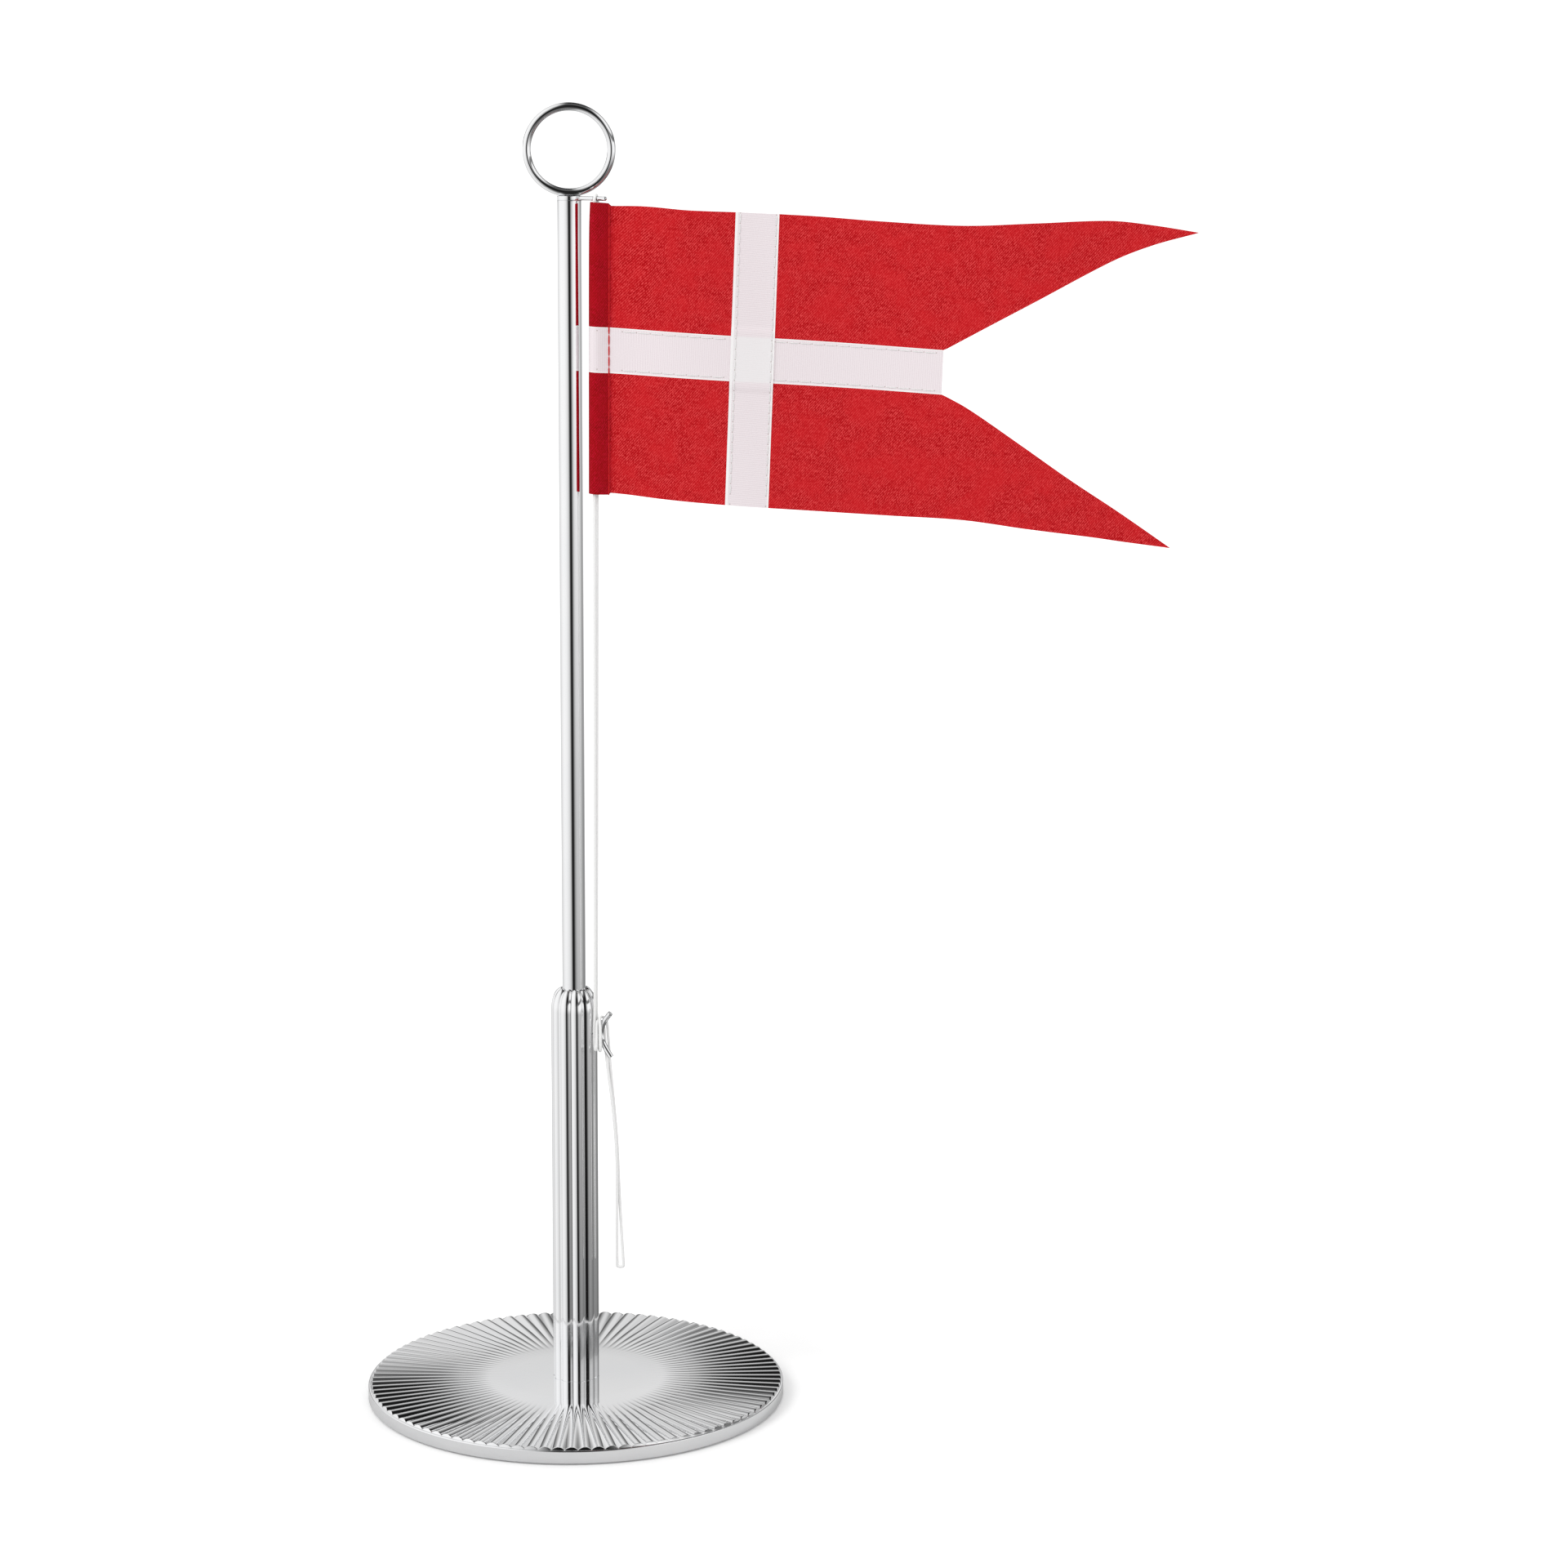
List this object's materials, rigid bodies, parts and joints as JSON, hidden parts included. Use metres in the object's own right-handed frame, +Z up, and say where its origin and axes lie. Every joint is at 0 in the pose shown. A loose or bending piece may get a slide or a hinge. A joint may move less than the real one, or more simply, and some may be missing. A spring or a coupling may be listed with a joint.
{
  "type": "desk flag stand",
  "caption": "Polished metal desk flag stand: ribbed disc base, fluted stem, slim pole with a ring finial, and a red swallow-tailed flag with a white cross on a doubled halyard with a cleat.",
  "frame": {"origin": "centre of the felt underside of the base, on the table", "axes": "+Z up along the pole, +X the way the flag flies from the pole, -Y towards the side of the cleat"},
  "size_m": [0.2449, 0.1264, 0.388],
  "materials": {
    "chrome": "mirror polished",
    "fastener_steel": "machined",
    "felt": "dense felt",
    "white_cord": "fine braided cord",
    "thread": "sewing thread",
    "red_cloth": "woven polyester",
    "white_tape": "woven tape",
    "tape_thread": "sewing thread"
  },
  "bodies": {
    "stand": {"base_disc": "chrome", "base_felt": "felt", "stem_screw": "fastener_steel", "fluted_stem": "chrome", "pole_stud": "fastener_steel", "pole": "chrome", "arm_collar": "chrome", "arm_rod": "chrome", "finial_ring": "chrome", "finial_stud": "fastener_steel", "cleat_horns": "chrome", "cleat_post": "chrome", "halyard_front": "white_cord", "halyard_back": "white_cord", "halyard_bight": "white_cord", "halyard_fold": "white_cord"},
    "hoist": {"halyard_seizing": "thread"},
    "flag": {"upper_hoist_cloth": "red_cloth", "lower_hoist_cloth": "red_cloth", "upper_fly_cloth": "red_cloth", "lower_fly_cloth": "red_cloth", "cross_bar": "white_tape", "cross_upright": "white_tape", "sleeve_stitching": "thread", "band_stitching": "tape_thread"}
  },
  "joints": [
    {"name": "flag_hoist", "type": "slide", "parent": "stand", "child": "hoist", "axis": [0.0049, -0.0026, 1], "range_m": [-0.146, 0]},
    {"name": "flag_swing", "type": "hinge", "parent": "hoist", "child": "flag", "pos_m": [0.00748, -0.00398, 0.2755], "axis": [0.0049, -0.0026, 1], "range_deg": [-150, 105]}
  ]
}
